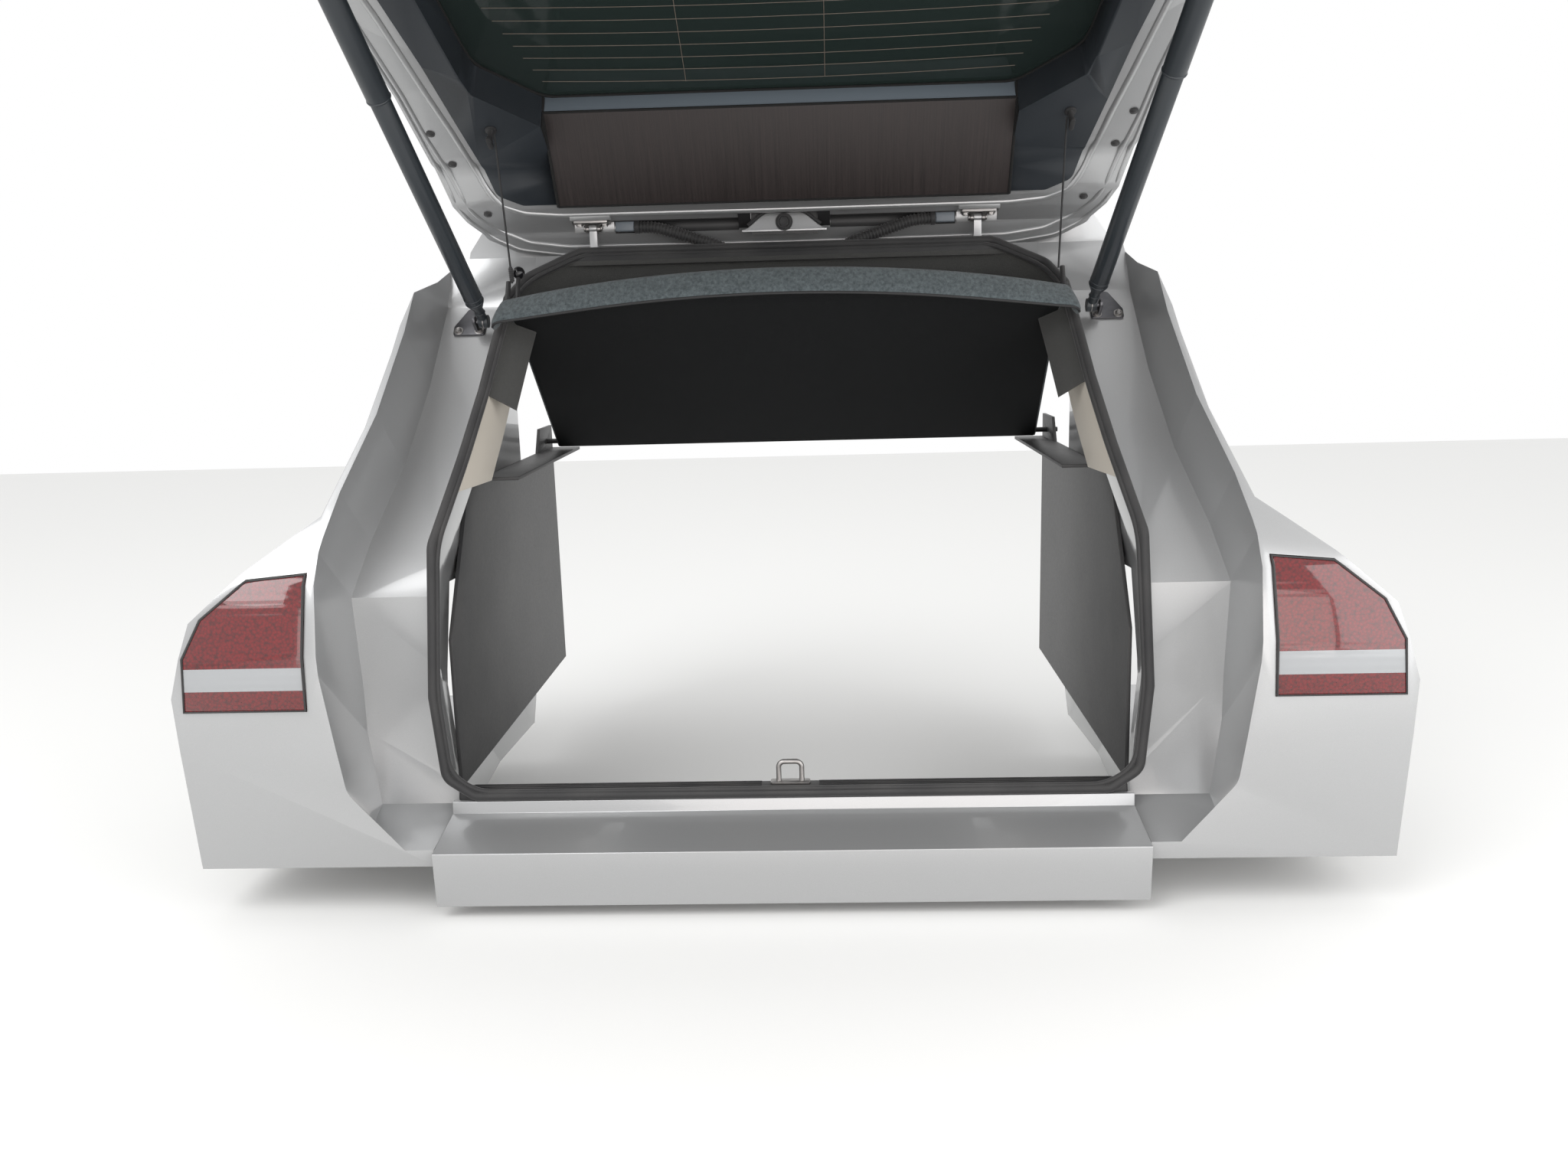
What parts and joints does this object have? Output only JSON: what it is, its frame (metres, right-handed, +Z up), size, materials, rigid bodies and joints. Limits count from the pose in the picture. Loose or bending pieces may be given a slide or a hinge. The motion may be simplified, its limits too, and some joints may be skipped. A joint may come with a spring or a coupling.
{
  "type": "tailgate assembly",
  "caption": "Raised tailgate of a compact crossover with its hinges, power struts, body opening, seal, trims and corded parcel shelf.",
  "frame": {"origin": "centre of the roof header's forward joint face, where the rest of the body joins", "axes": "+X to the right-hand side seen from behind, +Y towards the front of the vehicle, +Z up"},
  "size_m": [1.77, 1.3797, 1.497],
  "materials": {
    "body_paint": "silver grey metallic, gloss",
    "steel": "zinc plated, satin",
    "black_steel": "black, satin",
    "glass": "dark green tint",
    "gloss_black": "gloss",
    "trim_black": "fine grain, matt",
    "trim_beige": "fine grain, matt",
    "seal": "matt",
    "felt": "mottled felt",
    "lamp": "clear red, gloss",
    "cord": "braided cord"
  },
  "bodies": {
    "body_shell": {"harness_gaiters": "seal", "headliner_edge": "trim_beige", "hinge_arm_left": "body_paint", "hinge_arm_right": "body_paint", "opening_seal": "seal", "pillar_trim_left": "trim_beige", "pillar_trim_right": "trim_beige", "quarter_left": "body_paint", "quarter_right": "body_paint", "rear_sill": "body_paint", "roof_end": "body_paint", "roof_header": "body_paint", "side_trim_left": "trim_black", "side_trim_right": "trim_black", "sill_trim": "trim_black", "striker": "steel", "strut_bracket_left": "black_steel", "strut_bracket_right": "black_steel", "tail_lamp_left": "lamp", "tail_lamp_right": "lamp"},
    "tailgate": {"tailgate_inner": "body_paint", "tailgate_outer": "body_paint", "rear_glass": "glass", "spoiler": "body_paint", "stop_lamp": "lamp", "trim_header": "trim_black", "trim_side_right": "trim_black", "trim_side_left": "trim_black", "trim_lower": "trim_black", "cord_studs": "trim_black", "strut_studs": "black_steel", "flange_plugs": "seal", "harness_plugs": "trim_black", "latch": "trim_black", "handle_bar": "gloss_black", "hinge_leaf_right": "steel", "hinge_leaf_left": "steel"},
    "wiper_arm": {"wiper": "trim_black"},
    "shelf": {"parcel_shelf": "felt"},
    "cord_right": {"shelf_cord_right": "cord"},
    "cord_left": {"shelf_cord_left": "cord"},
    "tube_right": {"strut_tube_right": "black_steel"},
    "tube_left": {"strut_tube_left": "black_steel"},
    "sleeve_right": {"strut_sleeve_right": "black_steel"},
    "sleeve_left": {"strut_sleeve_left": "black_steel"}
  },
  "joints": [
    {"name": "gate_hinge", "type": "hinge", "parent": "body_shell", "child": "tailgate", "pos_m": [0, -0.15, 0], "axis": [1, 0, 0], "range_deg": [0, 82]},
    {"name": "wiper_sweep", "type": "hinge", "parent": "tailgate", "child": "wiper_arm", "pos_m": [0, -0.65672, 0.42512], "axis": [0, 0.5299, 0.848], "range_deg": [0, 100]},
    {"name": "shelf_hinge", "type": "hinge", "parent": "body_shell", "child": "shelf", "pos_m": [0, 0.21, -0.4], "axis": [1, 0, 0], "range_deg": [0, 28.1]},
    {"name": "cord_swing_right", "type": "hinge", "parent": "tailgate", "child": "cord_right", "pos_m": [0.452, -0.336, 0.1327], "axis": [1, 0, 0], "range_deg": [-112.49, 0]},
    {"name": "cord_swing_left", "type": "hinge", "parent": "tailgate", "child": "cord_left", "pos_m": [-0.452, -0.336, 0.1327], "axis": [1, 0, 0], "range_deg": [-112.49, 0]},
    {"name": "strut_swing_right", "type": "hinge", "parent": "body_shell", "child": "tube_right", "pos_m": [0.5135, -0.25, -0.155], "axis": [0.9835, 0.1777, 0.0349], "range_deg": [0, 94.5]},
    {"name": "strut_slide_right", "type": "slide", "parent": "tube_right", "child": "sleeve_right", "axis": [0.1017, -0.7013, 0.7056], "range_m": [-0.19732, 0]},
    {"name": "strut_swing_left", "type": "hinge", "parent": "body_shell", "child": "tube_left", "pos_m": [-0.5135, -0.25, -0.155], "axis": [0.9835, -0.1777, -0.0349], "range_deg": [0, 94.5]},
    {"name": "strut_slide_left", "type": "slide", "parent": "tube_left", "child": "sleeve_left", "axis": [-0.1017, -0.7013, 0.7056], "range_m": [-0.19732, 0]}
  ],
  "couplings": [
    {"joint": "shelf_hinge", "follows": "gate_hinge", "ratio": 0.34268},
    {"joint": "cord_swing_right", "follows": "gate_hinge", "ratio": -1.3718},
    {"joint": "cord_swing_left", "follows": "gate_hinge", "ratio": -1.3718},
    {"joint": "strut_swing_right", "follows": "gate_hinge", "ratio": 1.1524},
    {"joint": "strut_swing_left", "follows": "gate_hinge", "ratio": 1.1524},
    {"joint": "strut_slide_right", "follows": "gate_hinge", "m_per_rad": -0.13787},
    {"joint": "strut_slide_left", "follows": "gate_hinge", "m_per_rad": -0.13787}
  ]
}
